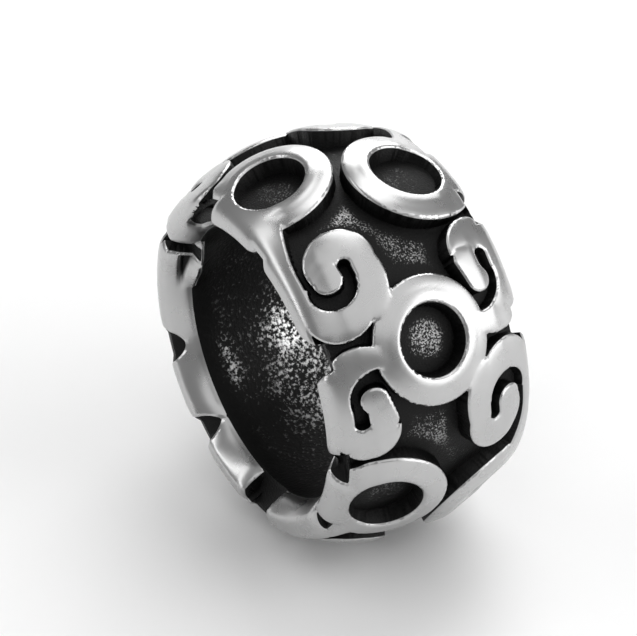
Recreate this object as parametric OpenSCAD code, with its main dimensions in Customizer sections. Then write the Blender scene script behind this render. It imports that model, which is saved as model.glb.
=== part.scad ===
// Large-hole barrel bead, cast in one piece in blackened steel, for a lock of beard or hair.
// The bore runs along Y through the origin, and the pattern comes round three times.
// A figure's outline is flat: x runs along the bore, y round the barrel, from its own radius.

/* [Barrel] */
// Diameter of the bore
bore_d = 7.8; // [7.6:0.05:8]
// Diameter over the dark ground at the middle of the width
ground_d = 10.28; // [10.1:0.02:10.4]
// Diameter over the polished relief at the middle of the width
crown_d = 11.5; // [11.3:0.05:11.6]
// Width over the two polished lips
bead_w = 6.3; // [6.2:0.05:6.4]
// Length of the plain cylindrical wall of the bore
wall_w = 4.7; // [4.6:0.02:4.76]

/* [Rings] */
// Outer diameter of the three rings on the middle line
mid_ring_d = 3.6; // [3.4:0.05:3.8]
// Outer diameter of the six rings beside the lips
side_ring_d = 3.64; // [3.56:0.02:3.7]
// Diameter of the hole in every ring
ring_hole_d = 2.05; // [1.9:0.05:2.2]
// Distance of a side ring's centre from the middle line
side_ring_offset = 1.7; // [1.66:0.01:1.74]
// Angle round the bead from a middle ring to the side ring that its scroll grows from
side_ring_turn = 68.4; // [68:0.2:69]

/* [Hidden] */
$fn = 96;

repeats = 3;
// A middle ring lies underneath, and the bead rests on it
first_turn = 30;
bore_r = bore_d / 2;
ground_r = ground_d / 2;
crown_r = crown_d / 2;
lip_v = bead_w / 2;
wall_v = wall_w / 2;

// Arcs of the two barrel sections
crown_arc_r = 5.9;
ground_arc_r = 10;
// Slope of the ground's end wall, along the bore for each unit outwards
end_slope = 0.42;

// Rounding of a lip, between two angles from the radius, in straight steps
nose_r = 0.62;
nose_centre = [bore_r + 0.53, lip_v - nose_r];
nose_from = 35;
nose_to = 101;
nose_steps = 3;
// The outline goes on this far from the rounding, to just past the crown
nose_lead = 1.4;

// The relief is sunk into the ground's wall, down to its root
root = [bore_r + 0.5, wall_v - 0.2];
// A lip's inner slope ends here, just inside the ground's edge
slope_foot = [bore_r + 0.02, wall_v - 0.02];

// Figures start at this radius, inside the wall
figure_from = 4.2;
// Outlines and cutters run past the metal by this much
overrun = 0.5;

// Large scroll, laid out about the radius at this angle from the middle ring
large_turn = 27;
// Discs of its outline, columns: along the bore, round the barrel, radius
curl = [-1.59, 0.34, 0.96];
cheek = [-2.6, -0.3, 2];
foot = [-2.09, -0.78, 0.97];
// The slot between its turns: the eye, and the round end that the neck leads to
eye_cut = [-2.07, -0.22, 0.65];
tip_cut = [-1.55, 0.2, 0.18];
// The round end of the stroke, left standing in the eye
lobe = [-2.11, 0, 0.39];
// Straight-sided stretches, columns: two opposite corners
cheek_side = [[-1.5, -1.54], [-0.2, 1]];
tip_neck = [[-1.71, -0.25], [-1.39, 0.22]];
lobe_neck = [[-2.6, 0.02], [-1.73, 0.6]];

// Small scroll, laid out about the radius at this angle from the middle ring
small_turn = -13;
// Discs of its outline, columns: along the bore, round the barrel, radius
shoulder = [-2.1, 0.72, 0.97];
heel = [-2.3, -0.73, 0.87];
// The slot inside its hook, and the slot's round end
hook_cut = [-1.75, 0.12, 0.88];
end_cut = [-2.41, -0.46, 0.2];
// The round end of the stroke, left standing in the slot
head = [-2, 0.13, 0.38];
// Straight-sided stretches, columns: two opposite corners
flank = [[-3.6, -0.9], [-2.5, 1]];
end_neck = [[-2.6, -0.48], [-2.24, 0.15]];
// The taper from the head down to the heel
tongue = [[-2.36, 0.1], [-2.24, -0.25], [-2.23, -0.9], [-1.6, -0.9], [-1.45, -0.5], [-1.62, 0.18]];

// Rise of the ground's end wall from the bore to the ground's arc, by the terms of a quadratic
arc_to_bore = bore_r - (ground_r - ground_arc_r);
rise_a = 1 + end_slope * end_slope;
rise_b = arc_to_bore + end_slope * wall_v;
rise_c = arc_to_bore * arc_to_bore + wall_v * wall_v - ground_arc_r * ground_arc_r;
wall_rise = (sqrt(rise_b * rise_b - rise_a * rise_c) - rise_b) / rise_a;

// What meets the ground laps it by this much, so that no hollow is left between them
lap = 0.01;
// The lip fills in under the figures, up to the ground's edge
lip_top_r = bore_r + wall_rise + lap;
lip_from = root[1] - 0.05;

// Stem that runs along the lip from a side ring to its large scroll
stem_edge = end_wall(bore_r + wall_rise) - lap;
// Columns: first and last angle from the middle ring
stem_span = [16, 55];

// Notches in the lip, which end this far short of the ground's end wall
notch_short = 0.11;
// Columns: first and last angle from the middle ring, radius at which the notch begins
notches = [
    [-1.5, 10.5, bore_r - overrun],
    [49, 55, bore_r + 0.3],
    [80.5, 89.5, bore_r - overrun],
];

// How far along the bore the ground's end wall lies at a radius
function end_wall(r) = wall_v + end_slope * (r - bore_r);

module disc(place) {
    translate([place[0], place[1]]) circle(r = place[2]);
}

module patch(corners) {
    size = corners[1] - corners[0];
    translate(corners[0]) square(size);
}

// A solid of revolution about the bore, from a section of radius and width
module turned() {
    rotate([-90, 0, 0]) rotate_extrude() children();
}

// Part of such a solid at the near end, between two angles from the middle ring
module turned_part(from, to) {
    rotate([0, -from, 0])
        rotate([90, 0, 0]) rotate_extrude(angle = to - from) children();
}

// A flat figure raised outwards along the radius at an angle
module raised(turn) {
    rotate([0, -turn, 0])
        rotate([90, 0, 90])
            translate([0, 0, figure_from])
                linear_extrude(height = crown_r + overrun - figure_from) children();
}

// Barrel section between one end's outline and its mirror image, under a crown arc
module barrel_section(top_r, arc_r, edge) {
    far_edge = [for (i = [len(edge) - 1 : -1 : 0]) [edge[i][0], -edge[i][1]]];
    intersection() {
        translate([top_r - arc_r, 0]) circle(r = arc_r, $fn = 360);
        polygon(concat(edge, far_edge));
    }
}

module ground_section() {
    outer = [crown_r, wall_v + end_slope * (crown_r - bore_r)];
    barrel_section(ground_r, ground_arc_r, [[bore_r, wall_v], outer]);
}

module crown_section() {
    step = (nose_to - nose_from) / nose_steps;
    nose = [for (i = [0 : nose_steps])
        nose_centre + nose_r * [cos(nose_to - i * step), sin(nose_to - i * step)]];
    past_crown = nose[nose_steps] + nose_lead * [sin(nose_from), -cos(nose_from)];
    barrel_section(crown_r, crown_arc_r, concat([root, slope_foot], nose, [past_crown]));
}

module ring_blank(turn, offset, diameter) {
    raised(turn) translate([offset, 0]) circle(d = diameter);
}

// It stops over the lip, which runs on unbroken under the hole
module ring_hole(turn, offset) {
    rotate([0, -turn, 0])
        translate([lip_top_r, offset, 0])
            rotate([0, 90, 0]) cylinder(d = ring_hole_d, h = crown_r + overrun - lip_top_r);
}

module large_scroll_outline() {
    difference() {
        union() {
            disc(curl);
            disc(foot);
            intersection() {
                disc(cheek);
                patch(cheek_side);
            }
        }
        difference() {
            union() {
                disc(eye_cut);
                disc(tip_cut);
                patch(tip_neck);
            }
            disc(lobe);
            intersection() {
                disc(curl);
                patch(lobe_neck);
            }
        }
    }
}

module small_scroll_outline() {
    difference() {
        union() {
            disc(shoulder);
            disc(heel);
            patch(flank);
        }
        disc(hook_cut);
        disc(end_cut);
        patch(end_neck);
    }
    disc(head);
    polygon(tongue);
}

// Section of a band round the near lip, past a place along the bore
module lip_band(from_r, to_r, from_v) {
    translate([from_r, from_v]) square([to_r - from_r, lip_v + overrun - from_v]);
}

module stem() {
    turned_part(stem_span[0], stem_span[1])
        lip_band(lip_top_r - overrun, crown_r + overrun, stem_edge);
}

module lip() {
    turned_part(0, 360) lip_band(bore_r - overrun, lip_top_r, lip_from);
}

module lip_notch(row) {
    from_r = row[2];
    top_r = crown_r + overrun;
    far_v = lip_v + overrun;
    turned_part(row[0], row[1])
        polygon([
            [from_r, end_wall(from_r) + notch_short],
            [top_r, end_wall(top_r) + notch_short],
            [top_r, far_v],
            [from_r, far_v],
        ]);
}

// The two turns of the figures by which the same half repeat is laid out
module both_halves() {
    children();
    rotate([180, 0, 0]) children();
}

module all_round() {
    for (i = [0 : repeats - 1])
        rotate([0, -(first_turn + i * 360 / repeats), 0]) children();
}

module figures() {
    all_round() {
        ring_blank(0, 0, mid_ring_d);
        both_halves() {
            ring_blank(side_ring_turn, -side_ring_offset, side_ring_d);
            raised(large_turn) large_scroll_outline();
            raised(small_turn) small_scroll_outline();
            stem();
        }
    }
    both_halves() lip();
}

module relief() {
    difference() {
        intersection() {
            turned() crown_section();
            figures();
        }
        all_round() {
            ring_hole(0, 0);
            both_halves() {
                ring_hole(side_ring_turn, -side_ring_offset);
                for (row = notches)
                    lip_notch(row);
            }
        }
    }
}

module bead() {
    color("silver") {
        turned() ground_section();
        relief();
    }
}

bead();
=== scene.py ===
# %% [markdown]
# # A cast steel beard bead
# The bead is one casting: a wide barrel with a big bore, circles and scrolls standing up on it, and
# a lip round each end. It was blackened all over and then tumbled, so the relief came out bright,
# and the sunk ground, the ring holes and the bore stayed dark.
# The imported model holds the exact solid. This script starts from its sizes and figures, and adds
# what carving, casting and tumbling do to a surface.

# %% The frame
import math
from collections import namedtuple

import bpy
import numpy as np
from mathutils import Matrix, Vector


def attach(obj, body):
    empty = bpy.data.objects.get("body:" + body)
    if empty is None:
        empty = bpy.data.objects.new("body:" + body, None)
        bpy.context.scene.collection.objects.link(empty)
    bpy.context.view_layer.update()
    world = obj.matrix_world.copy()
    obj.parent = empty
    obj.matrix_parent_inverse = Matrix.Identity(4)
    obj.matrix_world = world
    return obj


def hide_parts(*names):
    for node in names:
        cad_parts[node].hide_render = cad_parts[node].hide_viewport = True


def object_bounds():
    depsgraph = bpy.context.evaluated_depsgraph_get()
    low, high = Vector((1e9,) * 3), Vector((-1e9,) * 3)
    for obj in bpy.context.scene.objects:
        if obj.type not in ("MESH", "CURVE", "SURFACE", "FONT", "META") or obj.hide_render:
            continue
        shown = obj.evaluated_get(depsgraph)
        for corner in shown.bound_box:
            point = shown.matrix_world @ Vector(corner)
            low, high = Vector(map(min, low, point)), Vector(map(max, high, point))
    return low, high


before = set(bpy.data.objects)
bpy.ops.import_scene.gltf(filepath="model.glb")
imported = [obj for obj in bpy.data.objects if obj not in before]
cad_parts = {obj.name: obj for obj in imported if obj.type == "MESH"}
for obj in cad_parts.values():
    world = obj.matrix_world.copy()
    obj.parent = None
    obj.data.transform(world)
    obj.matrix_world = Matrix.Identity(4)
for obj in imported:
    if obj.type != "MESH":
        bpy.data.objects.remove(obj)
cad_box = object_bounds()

MM = 0.001
print("CAD box in mm:", [[round(c / MM, 3) for c in corner] for corner in cad_box])

# %% [markdown]
# ## Sizes of the barrel
# These are the solid's own sizes, in millimetres, a hundredth less where the mesh could pass the
# solid's box. The bead is worked on at a thousand times its real size, because Blender's mesh tools
# are made for things about as big as a room.
# All through, r is a distance from the bore's axis, and v a place along the bore, measured from the
# middle of the width.

# %% The barrel
BORE_R = 3.9
WALL_V = 2.35
LIP_V = 3.14
GROUND_R = 5.14
GROUND_ARC_R = 10
END_SLOPE = 0.42
CROWN_R = 5.74
CROWN_ARC_R = 5.9
CROWN_TO = 2.1
NOSE_R = 0.62
NOSE_RISE = 0.53
NOSE_AT = (BORE_R + NOSE_RISE, LIP_V - NOSE_R)
NOSE_FROM, NOSE_TO = math.radians(35), math.radians(101)
ground_wall, relief_wall = round(GROUND_R - BORE_R, 2), round(CROWN_R - BORE_R, 2)
print("wall:", ground_wall, "mm thick at the ground and", relief_wall, "at the relief")

# %% [markdown]
# ## The section of the wall
# Beads like this are carved in wax before they are cast, and a carver starts from a plain turned
# blank. So does this mesh. The outline of the wall's section is drawn once, from the bore's edge over
# one lip, the crown and the other lip. It could be a voxel remesh of the solid instead, which is
# quicker to write, but that frays every edge of the relief by half a voxel.
# Tumbling softens the bends, which here is a running average along the outline.

# %% Draw the worn section
NET = 0.085
FINE = 0.01
SOFTENED = 0.12
SLOPE_BULGE = 0.07


def crown(v):
    return np.sqrt(CROWN_ARC_R**2 - v**2) - (CROWN_ARC_R - CROWN_R)


def along(points):
    """Distance along a line of points."""
    return np.concatenate([[0], np.cumsum(np.hypot(*np.diff(points, axis=0).T))])


def resampled(points, places):
    return np.column_stack([np.interp(places, along(points), points[:, k]) for k in (0, 1)])


def worn_section():
    """Radius and width from the bore's edge over a lip, the crown and the other lip, with soft bends."""
    angles = np.arange(NOSE_TO, NOSE_FROM, -FINE)
    nose = np.column_stack([np.cos(angles), np.sin(angles)]) * NOSE_R + NOSE_AT
    widths = np.arange(CROWN_TO, -FINE / 2, -FINE)
    foot = np.array([BORE_R, WALL_V])
    across = (nose[0] - foot)[::-1] * (-1, 1) / np.hypot(*(nose[0] - foot))
    share = np.arange(0, 1, FINE)[:, None]
    slope = foot + share * (nose[0] - foot) + 4 * SLOPE_BULGE * share * (1 - share) * across
    half = np.vstack([slope, nose, np.column_stack([crown(widths), widths])])
    whole = np.vstack([half, half[-2::-1] * (1, -1)])
    line = resampled(whole, np.arange(0, along(whole)[-1], FINE))
    reach = round(SOFTENED / FINE)
    bell = np.hanning(2 * reach + 1)
    held = np.vstack([2 * line[0] - line[reach:0:-1], line, 2 * line[-1] - line[-2 : -reach - 2 : -1]])
    return np.column_stack([np.convolve(held[:, k], bell / bell.sum(), "valid") for k in (0, 1)])


line = worn_section()
line_at = along(line)
rows = round(line_at[-1] / NET)
section = resampled(line, np.linspace(0, line_at[-1], rows + 1))
print("section:", round(float(line_at[-1]), 2), "mm in", rows, "rows")

# %% [markdown]
# ## What an operator acts on
# An operator acts on all that is selected, and the loaded model comes in selected. So one helper
# selects a piece alone, and another selects some of its points. In a window this is done by mouse,
# and in a script by a list with a yes or no for every point.

# %% Select a piece or some of its points
def only(piece):
    if bpy.context.mode != "OBJECT":
        bpy.ops.object.mode_set(mode="OBJECT")
    bpy.ops.object.select_all(action="DESELECT")
    piece.select_set(True)
    bpy.context.view_layer.objects.active = piece


def select_points(piece, chosen):
    """Leaves the piece in edit mode, with these points and what lies between them selected."""
    only(piece)
    bpy.ops.object.mode_set(mode="EDIT")
    bpy.ops.mesh.select_mode(type="VERT")
    bpy.ops.mesh.select_all(action="DESELECT")
    bpy.ops.object.mode_set(mode="OBJECT")
    piece.data.vertices.foreach_set("select", np.asarray(chosen, bool))
    bpy.ops.object.mode_set(mode="EDIT")


# %% [markdown]
# ## A third of the blank
# The pattern comes round three times, so a third of the barrel is enough to begin with, from halfway
# before a middle ring to halfway past it. Spin copies the section step by step round the bore and
# fills in the faces. A Screw modifier does the same, and would then have to be applied.
# The first middle ring's angle is in degrees, and it puts one ring straight under the bead.

# %% Spin one repeat of the blank
REPEATS = 3
REPEAT_TURN = 2 * math.pi / REPEATS
FIRST_TURN = 30
COLUMNS = round(REPEAT_TURN * CROWN_R / NET)
BORE_ROWS = 8

bore = np.column_stack([np.full(BORE_ROWS + 1, BORE_R), np.linspace(-WALL_V, WALL_V, BORE_ROWS + 1)])[1:-1]
outline = np.vstack([section, bore])
first = math.radians(FIRST_TURN) - REPEAT_TURN / 2
blank = bpy.data.meshes.new("cast_bead")
blank.from_pydata(
    [(r * math.cos(first), v, r * math.sin(first)) for r, v in outline],
    [(i, (i + 1) % len(outline)) for i in range(len(outline))], [])
bead = bpy.data.objects.new("cast_bead", blank)
bpy.context.collection.objects.link(bead)
select_points(bead, np.ones(len(outline)))
bpy.ops.mesh.spin(steps=COLUMNS, angle=REPEAT_TURN, center=(0, 0, 0), axis=(0, -1, 0))
only(bead)
print("one repeat:", len(bead.data.vertices), "points in", COLUMNS, "columns")

# %% [markdown]
# ## Three thirds make the blank
# Two turned copies, each with a mesh of its own, close the barrel. Join makes one piece of the three,
# and the points that lie on each other along the joints are merged. An Array modifier could turn the
# copies too, but it needs a second object to tell it the turn.

# %% Join the three repeats
MERGE_WITHIN = NET / 20


def turned_copy(piece, turn):
    twin = bpy.data.objects.new(piece.name, piece.data.copy())
    bpy.context.collection.objects.link(twin)
    twin.data.transform(Matrix.Rotation(turn, 4, "Y"))
    return twin


twins = [turned_copy(bead, i * REPEAT_TURN) for i in range(1, REPEATS)]
only(bead)
for twin in twins:
    twin.select_set(True)
bpy.ops.object.join()
select_points(bead, np.zeros(len(bead.data.vertices)))
bpy.ops.mesh.select_non_manifold()
bpy.ops.mesh.remove_doubles(threshold=MERGE_WITHIN)
bpy.ops.mesh.select_all(action="SELECT")
bpy.ops.mesh.normals_make_consistent(inside=False)
only(bead)
print("blank:", len(bead.data.vertices), "points")

# %% [markdown]
# ## Shapes by their distance
# The relief could be cut with Booleans, but they leave long thin faces at every edge, and worn edges
# need an even net. So the figures are functions. Each tells how far a point lies in from the figure's
# edge, and is negative outside it. A union is then a maximum, an overlap is a minimum, and a cut is
# an overlap with the other figure's sign turned.

# %% Disc, patch and polygon
FAR = 99.0


def disc(place, x, y):
    return place[2] - np.hypot(x - place[0], y - place[1])


def patch(corners, x, y):
    (left, low), (right, high) = corners
    return np.minimum.reduce([x - left, right - x, y - low, high - y])


def polygon(points, x, y):
    nearest = np.full(x.shape, FAR)
    odd = np.zeros(x.shape, bool)
    for (ax, ay), (bx, by) in zip(points, points[1:] + points[:1]):
        dx, dy = bx - ax, by - ay
        share = np.clip(((x - ax) * dx + (y - ay) * dy) / (dx * dx + dy * dy), 0, 1)
        nearest = np.minimum(nearest, np.hypot(x - ax - share * dx, y - ay - share * dy))
        if dy:
            odd ^= ((ay > y) != (by > y)) & (x < ax + (y - ay) * dx / dy)
    return nearest * np.where(odd, 1, -1)


def union(*parts):
    return np.maximum.reduce(parts)


def overlap(*parts):
    return np.minimum.reduce(parts)


# %% [markdown]
# ## The two scrolls
# A scroll is a stroke that curls in on itself and ends in a round head. It is laid out flat: x runs
# along the bore and y round the barrel, from its own angle. The body is a few discs (along, round,
# radius) and patches (two corners), the slot between its turns is cut out of it, and the head is
# left standing in the slot. A curve with one width all along would be simpler, but these strokes
# swell and taper.

# %% Large scroll and small scroll
LARGE_TURN = 27
CURL, CHEEK, FOOT = (-1.59, 0.34, 0.96), (-2.6, -0.3, 2), (-2.09, -0.78, 0.97)
EYE_CUT, TIP_CUT, LOBE = (-2.07, -0.22, 0.65), (-1.55, 0.2, 0.18), (-2.11, 0, 0.39)
CHEEK_SIDE = ((-1.5, -1.54), (-0.2, 1))
TIP_NECK, LOBE_NECK = ((-1.71, -0.25), (-1.39, 0.22)), ((-2.6, 0.02), (-1.73, 0.6))

SMALL_TURN = -13
SHOULDER, HEEL = (-2.1, 0.72, 0.97), (-2.3, -0.73, 0.87)
HOOK_CUT, END_CUT, HEAD = (-1.75, 0.12, 0.88), (-2.41, -0.46, 0.2), (-2, 0.13, 0.38)
FLANK, END_NECK = ((-3.6, -0.9), (-2.5, 1)), ((-2.6, -0.48), (-2.24, 0.15))
TONGUE = ((-2.36, 0.1), (-2.24, -0.25), (-2.23, -0.9), (-1.6, -0.9), (-1.45, -0.5), (-1.62, 0.18))

SCROLL_REACH = 2


def large_scroll(x, y):
    body = union(disc(CURL, x, y), disc(FOOT, x, y), overlap(disc(CHEEK, x, y), patch(CHEEK_SIDE, x, y)))
    slot = union(disc(EYE_CUT, x, y), disc(TIP_CUT, x, y), patch(TIP_NECK, x, y))
    stroke = union(disc(LOBE, x, y), overlap(disc(CURL, x, y), patch(LOBE_NECK, x, y)))
    return overlap(body, -overlap(slot, -stroke))


def small_scroll(x, y):
    body = union(disc(SHOULDER, x, y), disc(HEEL, x, y), patch(FLANK, x, y))
    slot = union(disc(HOOK_CUT, x, y), disc(END_CUT, x, y), patch(END_NECK, x, y))
    return union(overlap(body, -slot), disc(HEAD, x, y), polygon(TONGUE, x, y))


def area(figure):
    """Square millimetres inside a flat figure, counted on a fine grid."""
    x, y = np.mgrid[-LIP_V:0:FINE, -SCROLL_REACH:SCROLL_REACH:FINE]
    return round(float((figure(x, y) > 0).sum()) * FINE**2, 2)


print("scrolls:", area(large_scroll), "and", area(small_scroll), "mm2")

# %% [markdown]
# ## Lips, stems and notches
# A lip runs round each end. A stem grows along it from a side ring to the large scroll, and flares
# towards the scroll. A notch is a stretch where the lip is missing. All three follow the bead's end,
# so they aren't laid out flat but measured by radius and by the angle from a middle ring, in degrees.
# The wax was touched up by hand, so every repeat has its own notches. Some run right through the lip.
# Others leave the bore's edge whole, and a few of those are shallow hollows.
# Each notch has its two angles, its two radii, how far its two sides lean for each millimetre
# outwards, and its share of the full depth.

# %% What follows the end of the bead
LIP_TOP_R = 4.77
STEM_EDGE, STEM_SPAN = 2.72, (16, 62)
STEM_FLARE, STEM_FLARE_SPAN = 0.3, (32, 48)
FLARE_PAST, FLARE_POWER = 1.2, 1.8
LEAN_R = 4.5
NOTCH_CORNER = 0.35
Notch = namedtuple("Notch", "low high from_r to_r lean_low lean_high depth")
NOTCHES = (
    (Notch(-1.5, 13, 3.4, 6, 0.4, 0.8, 0.3),
     Notch(82, 97, 4, 6, -0.3, 1.5, 1),
     Notch(46.5, 51.5, 3.4, 4.5, 0.2, 0.2, 1)),
    (Notch(3, 10, 3.4, 6, 0, 0, 0.7),
     Notch(80, 91, 3.96, 6, -0.2, -0.2, 0.3),
     Notch(46.5, 59, 4.06, 6, -0.2, -0.2, 0.15)),
    (Notch(-1.5, 10.5, 3.4, 6, -0.3, 0.2, 0.6),
     Notch(-5, 4, 3.4, 4.8, 0, 0, 0.6),
     Notch(80.5, 89.5, 4, 6, -0.3, -0.3, 0.6),
     Notch(50, 54, 4.05, 5.2, -0.7, 0, 1)))


def within_a_turn(angle):
    return (angle + math.pi) % (2 * math.pi) - math.pi


def sector(span, r, angle):
    """Distance in from the two ends of a span of angles, measured round the bead."""
    low, high = (math.radians(a) for a in span)
    return ((high - low) / 2 - np.abs(within_a_turn(angle - (low + high) / 2))) * r


def lips(v, r):
    return overlap(LIP_TOP_R - r, -v - CROWN_TO)


def stem(v, r, angle):
    low, high = (math.radians(a) for a in STEM_FLARE_SPAN)
    flare = STEM_FLARE * np.clip((angle - low) / (high - low), 0, FLARE_PAST) ** FLARE_POWER
    return overlap(-v - STEM_EDGE + flare, sector(STEM_SPAN, r, angle))


def notch(row, v, r, angle):
    """Distance in from the edge of a notch, which ends at the ground's end wall."""
    past_low = within_a_turn(angle - math.radians(row.low)) * r - row.lean_low * (r - LEAN_R)
    past_high = within_a_turn(math.radians(row.high) - angle) * r - row.lean_high * (r - LEAN_R)
    beyond_wall = -v - WALL_V - END_SLOPE * (r - BORE_R)
    sides = overlap(past_low, past_high)
    short = np.hypot(np.maximum(NOTCH_CORNER - sides, 0), np.maximum(NOTCH_CORNER - (r - row.from_r), 0))
    rounded = np.where(short > 0, NOTCH_CORNER - short, overlap(sides, r - row.from_r))
    return overlap(beyond_wall, row.to_r - r, rounded)


print("notches in a lip:", sum(len(rows) for rows in NOTCHES))

# %% [markdown]
# ## The whole pattern
# The pattern is six copies of one half repeat: three round the bead, each with its own half turn.
# So a point is turned back six times, once to each copy, and the figure that it lies deepest in
# counts. Modelling one half and copying its mesh would need the same joints closed six times.

# %% Six copies of a half repeat
LEAST_COSINE = 0.5


def copies(v, r, angle):
    for i in range(REPEATS):
        turned = within_a_turn(angle - math.radians(FIRST_TURN + i * 360 / REPEATS))
        yield v, r, turned
        yield -v, r, -turned


def on_plane(turn, v, r, angle):
    """A point's place in a figure's plane. The far side of the bead is sent out of reach."""
    a = angle - math.radians(turn)
    return np.where(np.cos(a) > LEAST_COSINE, v, FAR), r * np.sin(a)


# %% [markdown]
# A half repeat has half of a middle ring, a side ring, the two scrolls, a stem and the lip. The rings
# are a little narrower along the bore than round it, and their holes stop over the lip. A notch
# rounds the lip's end on either side of it. One that leaves the bore's edge whole gets its depth over
# a short ramp, because a file doesn't leave a step there.

# %% Rings, scrolls, lips and notches together
RING_R = 1.84
RING_HOLE_R = 1.05
RING_NARROW = 0.95
SIDE_RING_V = -1.7
SIDE_RING_TURN = 68.4
NOTCH_ROUND = 0.35
NOTCH_RAMP = 0.4
NOTCH_SIDE = 0.2


def pattern(v, r, angle):
    """How far in a point lies from the edge of the relief and of a scroll, how close it is to a
    notch, how much of the depth a notch has there, inside and at its brim, and how far the point
    is from the nearest ring's middle."""
    ring_at = np.full(r.shape, FAR)
    scroll, notches = np.full(r.shape, -FAR), np.full(r.shape, -FAR)
    lip_end = np.zeros(r.shape)
    bowl, brim = np.ones(r.shape), np.ones(r.shape)
    for number, seen in enumerate(copies(v, r, angle)):
        x, y = on_plane(0, *seen)
        mid_at = np.hypot(x / RING_NARROW, y)
        x, y = on_plane(SIDE_RING_TURN, *seen)
        side_at = np.hypot((x - SIDE_RING_V) / RING_NARROW, y)
        ring_at = np.minimum(ring_at, np.minimum(mid_at, side_at))
        scroll = union(scroll, large_scroll(*on_plane(LARGE_TURN, *seen)))
        scroll = union(scroll, small_scroll(*on_plane(SMALL_TURN, *seen)), lips(*seen[:2]), stem(*seen))
        for row in NOTCHES[number // 2]:
            cut = notch(row, *seen)
            notches = union(notches, cut)
            lip_end = np.maximum(lip_end, row.depth * np.clip(1 + cut / NOTCH_ROUND, 0, 1) ** 2)
            if row.from_r > BORE_R:
                ramp = np.clip(overlap((r - row.from_r) / NOTCH_RAMP, cut / NOTCH_SIDE), 0, 1)
                bowl, brim = np.where(cut > 0, ramp * row.depth, bowl), np.where(cut > 0, row.depth, brim)
    hole = overlap(RING_HOLE_R - ring_at, r - LIP_TOP_R)
    relief = overlap(union(RING_R - ring_at, scroll), -hole, -notches)
    return relief, scroll, lip_end, bowl, brim, ring_at


# %% [markdown]
# ## Where a point of the blank lies
# To ask the pattern about a point, its place on the blank is needed: s is its place along the
# section's outline, and the angle its place round the bead. Both could be stored when the blank is
# spun, but Subdivide adds points later, so they are worked out from where a point is.
# The points inside the bore aren't on that outline, which is called the skin, and keep their places.

# %% Look up the points on the section
MIDDLE_R = 4.6


def on_section(s):
    return np.interp(s, line_at, line[:, 0]), np.interp(s, line_at, line[:, 1])


def inside(s, angle):
    r, v = on_section(s)
    return pattern(v, r, angle)[0]


def coordinates(piece):
    places = np.empty(len(piece.data.vertices) * 3)
    piece.data.vertices.foreach_get("co", places)
    return places.reshape(-1, 3)


def bearing(r, v):
    """Direction from the middle of the wall, in which the skin goes once over from lip to lip."""
    return np.arctan2(r - MIDDLE_R, v)


def placed(piece):
    """Each point's place along the skin's section and round the bead, and whether it is on the skin."""
    x, v, z = coordinates(piece).T
    r = np.hypot(x, z)
    line_bearing = np.unwrap(bearing(*line.T))
    turned = bearing(r, v)
    turned[turned < -math.pi / 2] += 2 * math.pi
    order = np.argsort(line_bearing)
    s = np.interp(turned, line_bearing[order], line_at[order])
    return s, np.arctan2(z, x), (r > BORE_R + FINE) & (s > FINE) & (s < line_at[-1] - FINE)


print("on the skin:", int(placed(bead)[2].sum()), "points")

# %% [markdown]
# ## A finer net near the outlines
# A smooth outline needs smaller faces than the open ground does, so Subdivide halves only the faces
# that lie near one. A finer net all over would be simpler, and four times as heavy.

# %% Subdivide near the outlines
FINER_WITHIN = 0.08
s, angle, on_skin = placed(bead)
near = np.abs(np.where(on_skin, inside(s, angle), FAR)) < FINER_WITHIN
select_points(bead, near)
bpy.ops.mesh.select_mode(use_expand=True, type="FACE")
bpy.ops.mesh.subdivide(number_cuts=1)
only(bead)
print("after refining:", len(bead.data.vertices), "points")

# %% [markdown]
# ## Pressing the outlines into the net
# Every point that lies within about half a step of a figure's edge is slid along the blank onto that
# edge, so the outlines run through points and come out smooth. A second line of points is slid onto
# the inner line of the edge's bevel. Snapping by hand would do the same, point by point.

# %% Slide the nearest points onto the outlines
PROBE = 0.004
SLIDES = 3
LEAST_SLOPE = 0.2
BEVEL = 0.045
EDGE_REACH = 0.55 * NET / 2
BEVEL_REACH = 0.5 * NET / 2


def slide(s, angle, level):
    """Moves points along the slope of the distance until they lie this far in from an edge."""
    for _ in range(SLIDES):
        r = on_section(s)[0]
        gap = inside(s, angle) - level
        slope_s = (inside(s + PROBE, angle) - level - gap) / PROBE
        slope_a = (inside(s, angle + PROBE / r) - level - gap) / PROBE
        steep = np.maximum(slope_s**2 + slope_a**2, LEAST_SLOPE)
        s = s - gap * slope_s / steep
        angle = angle - gap * slope_a / steep / r
    return s, angle


s, angle, on_skin = placed(bead)
points = coordinates(bead)
point_r = np.hypot(points[:, 0], points[:, 2])
edge_at = np.where(on_skin, inside(s, angle), FAR)
on_edge = on_skin & (np.abs(edge_at) < EDGE_REACH)
on_bevel = on_skin & ~on_edge & (edge_at > 0) & (edge_at < BEVEL + BEVEL_REACH)
for chosen, level in ((on_edge, 0), (on_bevel, BEVEL)):
    s[chosen], angle[chosen] = slide(s[chosen], angle[chosen], level)
print("points on an edge:", int(on_edge.sum()), "and on a bevel's inner line:", int(on_bevel.sum()))

# %% [markdown]
# ## Splitting the faces that a line crosses
# Where an outline runs through a face from corner to corner, the face would fold over it either way.
# Connect splits it between those two corners, as the knife would by hand.

# %% Connect the points of a line
for chosen in (on_edge, on_bevel):
    select_points(bead, chosen)
    bpy.ops.mesh.vert_connect()
    only(bead)
print("faces:", len(bead.data.polygons))

# %% [markdown]
# ## The depth of the ground
# Between the figures a carver sinks the wax to an even, plain ground. The blank's own normals are the
# way down. How far it is depends on the place along the section alone, so it is found once for the
# line, as the first of many small steps that lies inside the plain turned ground.

# %% How deep the ground lies
GROUND_MIN, DEEPEST, DEPTH_STEP = 0.02, 0.9, 0.005
ahead = np.gradient(line, axis=0)
normal = np.column_stack([ahead[:, 1], -ahead[:, 0]]) / np.hypot(*ahead.T)[:, None]
normal *= np.sign(normal[len(normal) // 2, 0])


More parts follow.
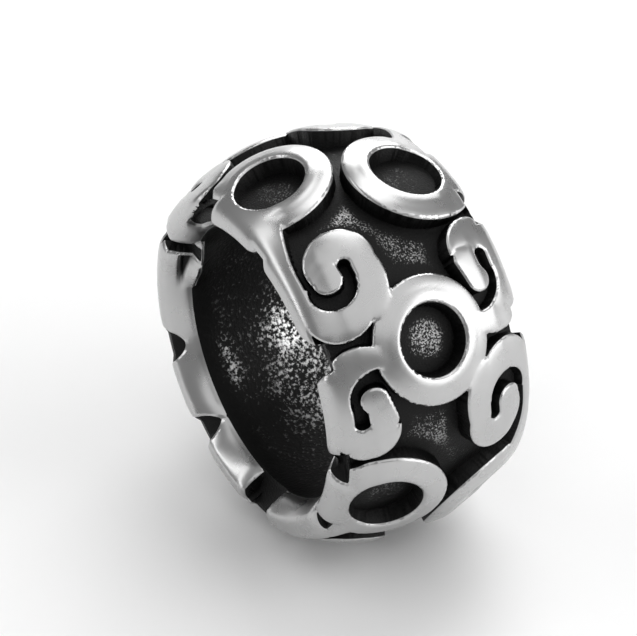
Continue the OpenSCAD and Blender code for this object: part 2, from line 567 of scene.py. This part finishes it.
def in_ground(r, v):
    arc = np.sqrt(GROUND_ARC_R**2 - v**2) - (GROUND_ARC_R - GROUND_R)
    return (r < arc) & (np.abs(v) < WALL_V + END_SLOPE * (r - BORE_R))


depths = np.arange(GROUND_MIN, DEEPEST, DEPTH_STEP)
probes = line[:, None, :] - depths[:, None] * normal[:, None, :]
ground_depth = depths[np.argmax(in_ground(probes[..., 0], probes[..., 1]), axis=1)]
print("ground below the crown:", round(float(ground_depth[len(ground_depth) // 2]), 3), "mm")

# %% [markdown]
# ## Wear
# Tumbling lowers the figures only a little. A bright collar stays round each hole, outside it a ring
# falls away in a soft shoulder, and a scroll rounds off near its edges. Beside a notch the end of the
# lip is rounded over. A Bevel modifier would treat every edge alike, and wear doesn't.

# %% How far the relief is worn
COLLAR_R = 1.36
COLLAR_RISE, COLLAR_INNER, COLLAR_OUTER = 0.02, COLLAR_R - 0.05, COLLAR_R + 0.07
SHOULDER_DROP = 0.06
HOLE_ROUND, HOLE_DROP = 0.12, 0.03
SCROLL_DOME, SCROLL_DROP = 0.3, 0.02
BEVEL_DROP = 0.03
NOTCH_DROP = 0.12
LIP_FROM, LIP_FULL = 2.2, 2.7
OFF_BY = NET / 5


def ease(low, high, x):
    share = np.clip((x - low) / (high - low), 0, 1)
    return share * share * (3 - 2 * share)


def wear(v, relief, scroll, lip_end, ring_at):
    hole = HOLE_DROP * (1 - np.clip((ring_at - RING_HOLE_R) / HOLE_ROUND, 0, 1)) ** 2
    out = np.clip((ring_at - COLLAR_R) / (RING_R - COLLAR_R), 0, 1)
    ring = hole + COLLAR_RISE * ease(COLLAR_INNER, COLLAR_OUTER, ring_at) + SHOULDER_DROP * out**2
    top = COLLAR_RISE + SCROLL_DROP * np.clip(1 - scroll / SCROLL_DOME, 0, 1) ** 2
    off_ring = ring_at > RING_R + OFF_BY
    off_scroll = scroll < -OFF_BY
    lowest = np.minimum(np.where(off_ring, 1, ring), np.where(off_scroll, 1, top))
    soft = np.where(off_ring & off_scroll, top, lowest) * (1 - ease(LIP_FROM, LIP_FULL, np.abs(v)))
    rounded = NOTCH_DROP * lip_end * ease(LIP_FROM, LIP_FULL, np.abs(v))
    return soft + rounded + BEVEL_DROP * np.clip(1 - relief / BEVEL, 0, 1)


print("wear of an edge:", BEVEL_DROP, "mm, of a ring's shoulder:", SHOULDER_DROP, "mm")

# %% [markdown]
# ## A flaw of the casting
# On the left of the bore's near edge, the casting has a narrow groove, and beside it a small flap of
# metal that leans into the bore. Both only move points that are there already, which is enough for
# so small a thing. Extruding a flap would break the even net.

# %% Groove and flap
GROOVE_SPAN, GROOVE_R, GROOVE_HALF, GROOVE_DEPTH = (161, 183), (3.99, 4.03), 0.09, 0.2
FLAP, FLAP_TURN, FLAP_HALF, FLAP_FULL = 0.28, 163, 17, 0.2
FLAP_RISE, FLAP_WIDTH = 0.1, 0.15


def groove(v, r, angle):
    """Depth of a groove between the near lip and the bore, tapering to a point."""
    low, high = (math.radians(a) for a in GROOVE_SPAN)
    past = within_a_turn(angle - low)
    left = np.where(past > 0, np.clip(1 - past / (high - low), 0, 1), 0)
    middle = GROOVE_R[1] + (GROOVE_R[0] - GROOVE_R[1]) * left
    share = np.clip(1 - np.abs(r - middle) / (GROOVE_HALF * left + PROBE), 0, 1)
    return np.where(v < -WALL_V, GROOVE_DEPTH * left * share, 0)


def flap_lean(v, r, angle):
    """How far the near edge of the bore leans inwards."""
    off_middle = np.abs(within_a_turn(angle - math.radians(FLAP_TURN))) / math.radians(FLAP_HALF)
    at_edge = (r < BORE_R + FLAP_RISE) & (np.abs(v + WALL_V) < FLAP_WIDTH)
    return np.where(at_edge, FLAP * ease(1, FLAP_FULL, off_middle), 0)


print("groove:", GROOVE_DEPTH, "mm deep, flap:", FLAP, "mm")

# %% [markdown]
# ## Sinking the ground and wearing the relief
# Now each point goes down its normal once: in a figure by its wear, outside by the depth of the
# ground. A notch that leaves the bore's edge whole starts from a worn brim and gets deeper outwards.
# Sculpt brushes could do this by eye, but not to the solid's sizes.

# %% Move the points
r, v = on_section(s)
relief, scroll, lip_end, bowl, brim, ring_at = pattern(v, r, angle)
figure = on_skin & ((relief > 0) | on_edge)
depth = np.interp(s, line_at, ground_depth)
brim = np.minimum(NOTCH_DROP * brim + BEVEL_DROP, depth)
deep = brim + bowl * (depth - brim)
flaw = groove(v, r, angle)
sunk = np.where(figure, wear(v, relief, scroll, lip_end, ring_at) + flaw, deep)
r = r - sunk * np.interp(s, line_at, normal[:, 0])
v = v - sunk * np.interp(s, line_at, normal[:, 1])
r[~on_skin], v[~on_skin] = point_r[~on_skin], points[~on_skin, 1]
flap = flap_lean(v, r, angle)
r = r - flap
points = np.column_stack([r * np.cos(angle), v, r * np.sin(angle)])
bead.data.vertices.foreach_set("co", points.ravel())
print("points in a figure:", int(figure.sum()), "and sunk to the ground:", int((on_skin & ~figure).sum()))

# %% [markdown]
# ## Where the black is rubbed off, and painted light in the bore
# Tumbling leaves the black on close under the figures and at the bore's edges, and rubs single grains
# through in the open. In a few patches more of the grains are bright. Each patch is given by its angle,
# its place along the bore, half its size both ways and its strength. In the bore these patches are painted
# light: bright grains stand where light falls on the inside of the bore. The finish reads three numbers
# from every point: how polished it is, how open it lies (which carries the bore's painted light), and
# whether it is in the bore. An image could hold them, but it would need the bead unwrapped.

# %% Numbers for the finish
OPEN_FROM, OPEN_TO = 0.1, 0.58
GROUND_RUB, BORE_RUB = 0.74, 0.45
GROUND_PATCHES = (
    (31, 0.1, 16, 1.35, 1), (74, -0.8, 10, 0.75, 1.05), (57, 0.3, 10, 0.8, 0.9), (2.5, -0.3, 10, 0.8, 0.9))
# The bore's patches are painted light: more bright grains where light falls on the inside of the bore.
BORE_GRAIN_AND_LIGHT_PATCHES = ((210, 0.3, 19, 1.1, 1.03), (234, 0.5, 32, 1.6, 0.88), (216, -1.95, 17, 0.5, 0.92))
PATCH_END, PATCH_FULL = 1.3, 0.3
BORE_EDGE = 0.2
GROOVE_BLACK = 0.15
FLAP_BRIGHT_FROM = 0.02


def rub_and_painted_light(patches, least):
    """Share of the black that is rubbed off, the least everywhere, and more in each patch. In the bore's
    patches the extra bright grains are painted light.
    """
    share = np.full(v.shape, least)
    for turn, width, half_turn, half_width, strength in patches:
        round_by = within_a_turn(angle - math.radians(turn)) / math.radians(half_turn)
        rubbed = ease(PATCH_END, PATCH_FULL, np.hypot(round_by, (v - width) / half_width))
        share = np.maximum(share, least + (strength - least) * rubbed)
    return share


on_ground = rub_and_painted_light(GROUND_PATCHES, GROUND_RUB) * ease(OPEN_FROM, OPEN_TO, -relief)
# Painted light: in the bore the patches brighten the grains where light falls, and this rides in the
# openness number.
bore_rub_and_painted_light = rub_and_painted_light(BORE_GRAIN_AND_LIGHT_PATCHES, BORE_RUB) * ease(WALL_V, WALL_V - BORE_EDGE, np.abs(v))
openness_and_painted_light = np.where(figure, 0, np.where(on_skin, on_ground, bore_rub_and_painted_light))
polish = np.where(flap > FLAP_BRIGHT_FROM, 1, figure * (1 - GROOVE_BLACK * flaw / GROOVE_DEPTH))
for name, values in (("polish", polish), ("open", openness_and_painted_light), ("bore", ~on_skin)):
    attribute = bead.data.attributes.new(name, "FLOAT", "POINT")
    attribute.data.foreach_set("value", values.astype(np.float32))
print("openness:", round(float(openness_and_painted_light[~figure].mean()), 2), "on average, where the black stays")

# %% [markdown]
# ## The finished mesh
# A casting has no open edge, so Select Non Manifold should find none. Shade Smooth By Angle keeps the
# steep walls of the figures crisp, and the worn tops soft. Then the bead goes back to its real size, the
# imported solid that it stands for is hidden, and it is attached to the body that it belongs to.

# %% Check the bead and hand it over
CRISP_FROM = math.radians(50)
select_points(bead, np.zeros(len(bead.data.vertices)))
bpy.ops.mesh.select_non_manifold()
only(bead)
print("open points:", sum(point.select for point in bead.data.vertices))
bead.data.calc_loop_triangles()
print("bead:", len(bead.data.vertices), "points,", len(bead.data.loop_triangles), "triangles")
bpy.ops.object.shade_smooth_by_angle(angle=CRISP_FROM)
bead.data.transform(Matrix.Scale(MM, 4))
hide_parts("bead")
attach(bead, "root")


# %% [markdown]
# ## Shader maths as expressions
# A shader's numbers come out of node sockets. Wrapped in this small class they can be written as
# Python expressions, and every sum or product adds its Math node by itself. Nodes could be placed one
# by one instead, but a long formula is then hard to read.

# %% Sockets that can be added and multiplied
class Value:
    def __init__(self, tree, socket):
        self.tree = tree
        self.socket = socket

    def node(self, kind, settings=None, output=0, **inputs):
        """Adds a node: first its settings, then its sockets by name or by number, as in_0."""
        made = self.tree.nodes.new(kind)
        for name, setting in (settings or {}).items():
            setattr(made, name, setting)
        for name, value in inputs.items():
            place = int(name[3:]) if name.startswith("in_") else name.replace("_", " ").title()
            if isinstance(value, Value):
                self.tree.links.new(value.socket, made.inputs[place])
            else:
                made.inputs[place].default_value = value
        return Value(self.tree, made.outputs[output])

    def maths(self, operation, first, second=0.0):
        return self.node("ShaderNodeMath", {"operation": operation}, in_0=first, in_1=second)

    def __add__(self, other):
        return self.maths("ADD", self, other)

    def __sub__(self, other):
        return self.maths("SUBTRACT", self, other)

    def __rsub__(self, other):
        return self.maths("SUBTRACT", other, self)

    def __mul__(self, other):
        return self.maths("MULTIPLY", self, other)

    def __pow__(self, other):
        return self.maths("POWER", self, other)

    __radd__ = __add__
    __rmul__ = __mul__

    def ramp(self, low, high):
        """Smooth step from 0 to 1 between two values."""
        return self.node("ShaderNodeMapRange", {"interpolation_type": "SMOOTHSTEP"},
                         value=self, from_min=low, from_max=high)

    def noise(self, size, detail=2.0, roughness=0.5):
        """Noise whose lumps are about this many millimetres across."""
        return self.node("ShaderNodeTexNoise", vector=self, scale=1 / (size * MM),
                         detail=detail, roughness=roughness)

    def attribute(self, name):
        """One of the numbers that were stored on the points."""
        return self.node("ShaderNodeAttribute", {"attribute_name": name}, output="Fac")

    def grey(self):
        return self.node("ShaderNodeCombineColor", red=self, green=self, blue=self)


# %% [markdown]
# ## Blackened steel
# One material covers the casting. Where the tumbler reached it the steel is bright. Elsewhere the black
# stays on, and only single grains of the rough casting are rubbed through, more of them in the open middle
# of the ground than close under the figures. The bore's grain is coarser and brighter, and in a few
# patches of the bore the bright grains are painted light. Two materials could meet at the outlines, but
# then they would meet in a hard line.

# %% The metal
BRIGHT, BLACK = 0.5, 0.018
POLISH_FROM, POLISH_TO = 0.93, 0.99
ROUGH_BLACK, ROUGH_BRIGHT, ROUGH_HAZE = 0.5, 0.28, 0.08
GRAIN, BORE_GRAIN_MORE = 0.42, 0.45
GRAIN_SIZE, GRAIN_CRISP = 0.05, 0.7
BORE_GRAIN_SIZE, BORE_GRAIN_CRISP = 0.1, 0.6
CLOUD_SIZE, CLOUD_SHARE = 0.9, 0.35
OPEN_SHARE, OPEN_POWER, BORE_SHARE = 0.26, 3, 0.03
RUB_FROM, RUB_TO, BORE_SOONER, BORE_LATER = 0.49, 0.62, 0.03, 0.06
HAZE_SIZE, HAZE_DETAIL, HAZE = 0.5, 3.0, 0.05
GRAIN_HEIGHT, WAVE_SIZE, WAVE_HEIGHT = 0.02, 0.8, 0.006
MIDDLE = 0.5


def blackened_steel():
    material = bpy.data.materials.new("blackened_steel")
    material.use_nodes = True
    tree = material.node_tree
    shader = tree.nodes["Principled BSDF"]
    start = Value(tree, None)
    place = start.node("ShaderNodeTexCoord", output="Object")
    polish = start.attribute("polish").ramp(POLISH_FROM, POLISH_TO)
    openness_and_painted_light = start.attribute("open")
    bore = start.attribute("bore")

    ground_grain = place.noise(GRAIN_SIZE, roughness=GRAIN_CRISP)
    fine = ground_grain + bore * (place.noise(BORE_GRAIN_SIZE, roughness=BORE_GRAIN_CRISP) - ground_grain)
    clouds = place.noise(CLOUD_SIZE)
    # In the bore's patches the openness carries painted light, so the bright grains there are partly
    # painted light.
    rubbed = fine + CLOUD_SHARE * (clouds - MIDDLE) + OPEN_SHARE * (openness_and_painted_light - 1) + BORE_SHARE * bore
    rubbed = rubbed.ramp(RUB_FROM - BORE_SOONER * bore, RUB_TO + BORE_LATER * bore) * openness_and_painted_light**OPEN_POWER
    dark = BLACK + (GRAIN + BORE_GRAIN_MORE * bore) * rubbed
    haze = place.noise(HAZE_SIZE, HAZE_DETAIL)
    bright = BRIGHT + HAZE * (haze - MIDDLE)
    base = dark + polish * (bright - dark)
    rough = ROUGH_BLACK + polish * (ROUGH_BRIGHT - ROUGH_BLACK + ROUGH_HAZE * (haze - MIDDLE))
    grainy = (1 - polish) * (fine * GRAIN_HEIGHT + clouds * GRAIN_HEIGHT)
    height = grainy + polish * place.noise(WAVE_SIZE, 1.0) * WAVE_HEIGHT
    bump = start.node("ShaderNodeBump", strength=1.0, distance=MM, height=height, output="Normal")
    for name, value in (("Base Color", base.grey()), ("Roughness", rough), ("Normal", bump)):
        tree.links.new(value.socket, shader.inputs[name])
    shader.inputs["Metallic"].default_value = 1
    print("finish:", material.name, "with", len(tree.nodes), "nodes")
    return material


bead.data.materials.append(blackened_steel())

# %% [markdown]
# ## The photo's view
# The bead lies on its side and is seen from above and from the right of its near end. The angles and
# the scale were fitted to the outlines in the photo, and the aim puts the bead at its place in the
# frame. Moving the camera by eye gets near, but never quite onto the outlines.

# %% Camera
PHOTO = (637, 636)
VIEW_TURN, VIEW_RISE, VIEW_ROLL = math.radians(59.7), math.radians(36.8), math.radians(-1.84)
PIXELS_PER_MM = 36.64
CAMERA_DISTANCE = 0.381
BEAD_PIXEL = (342.2, 332.8)
SENSOR = 36.0
NEAREST_SEEN = 0.01


def seen_along(across, upwards, away, place):
    """A placing whose own axes point these three ways."""
    return Matrix((
        (across.x, upwards.x, away.x, place.x),
        (across.y, upwards.y, away.y, place.y),
        (across.z, upwards.z, away.z, place.z),
        (0, 0, 0, 1)))


level = Vector((math.cos(VIEW_TURN), math.sin(VIEW_TURN), 0))
back = Vector((
    math.sin(VIEW_TURN) * math.cos(VIEW_RISE),
    -math.cos(VIEW_TURN) * math.cos(VIEW_RISE),
    math.sin(VIEW_RISE)))
upright = back.cross(level)
right = level * math.cos(VIEW_ROLL) + upright * math.sin(VIEW_ROLL)
up = back.cross(right)
aim = (right * (PHOTO[0] / 2 - BEAD_PIXEL[0]) - up * (PHOTO[1] / 2 - BEAD_PIXEL[1])) * MM / PIXELS_PER_MM
camera_data = bpy.data.cameras.new("camera")
camera = bpy.data.objects.new("camera", camera_data)
bpy.context.scene.collection.objects.link(camera)
camera_data.sensor_width = SENSOR
camera_data.lens = SENSOR * CAMERA_DISTANCE / (PHOTO[0] / PIXELS_PER_MM * MM)
camera_data.clip_start = NEAREST_SEEN
camera.matrix_world = seen_along(right, up, back, aim + back * CAMERA_DISTANCE)
bpy.context.scene.camera = camera
print("lens:", round(camera_data.lens), "mm")

# %% [markdown]
# ## Floor and light
# The bead lies on a pale floor in a light tent. Polished steel shows little but what it mirrors, so
# each softbox stands where the bright streaks of the photo point: two big ones for the broad greys,
# a strip for the streak down the stem, a strip for the crown and a small one behind. Each is given
# by its direction from the bead, to the right, up and towards the camera, then its width and height
# in metres, its brightness and its distance. A picture of a studio all round would be quicker, but
# this part uses no images.

# %% A pale floor under a soft sky
FLOOR_SIZE = 4
FLOOR_GREY, FLOOR_ROUGH = 0.9, 0.8
ROOM = 0.3
bpy.ops.object.select_all(action="DESELECT")
bpy.ops.mesh.primitive_plane_add(size=FLOOR_SIZE, location=(0, 0, cad_box[0][2]))
floor = bpy.context.object
floor.name = "floor"
floor_material = bpy.data.materials.new("pale_floor")
floor_material.use_nodes = True
floor_shader = floor_material.node_tree.nodes["Principled BSDF"]
floor_shader.inputs["Base Color"].default_value = (FLOOR_GREY, FLOOR_GREY, FLOOR_GREY, 1)
floor_shader.inputs["Roughness"].default_value = FLOOR_ROUGH
floor.data.materials.append(floor_material)

world = bpy.data.worlds.new("studio")
bpy.context.scene.world = world
world.use_nodes = True
world.node_tree.nodes["Background"].inputs["Color"].default_value = (ROOM, ROOM, ROOM, 1)
bpy.context.scene.view_settings.view_transform = "Standard"

# %% [markdown]
# Every lamp faces the bead, so one helper can place them all from a table. It turns a lamp's brightness
# into power, because a bigger lamp of the same brightness gives more light.

# %% Softboxes
SOFTBOXES = (
    ("right_softbox", (0.93, 0.05, 0.35), 0.2, 0.24, 2.1, 0.2),
    ("left_strip", (-0.83, 0.36, 0.42), 0.035, 0.28, 3, 0.2),
    ("top_strip", (0.2, 0.98, 0.12), 0.24, 0.1, 2.2, 0.2),
    ("back_softbox", (0.05, 0.85, -0.5), 0.1, 0.12, 4, 0.2),
    ("front_softbox", (0.28, 0.42, 0.86), 0.76, 0.64, 0.75, 0.6))


def softbox(name, towards, width, height, brightness, distance):
    away = (right * towards[0] + up * towards[1] + back * towards[2]).normalized()
    side = up.cross(away).normalized()
    light = bpy.data.lights.new(name, "AREA")
    light.shape = "RECTANGLE"
    light.size = width
    light.size_y = height
    light.energy = brightness * math.pi * width * height
    box = bpy.data.objects.new(name, light)
    box.matrix_world = seen_along(side, away.cross(side), away, away * distance)
    bpy.context.scene.collection.objects.link(box)


for row in SOFTBOXES:
    softbox(*row)
print("softboxes:", len(SOFTBOXES))
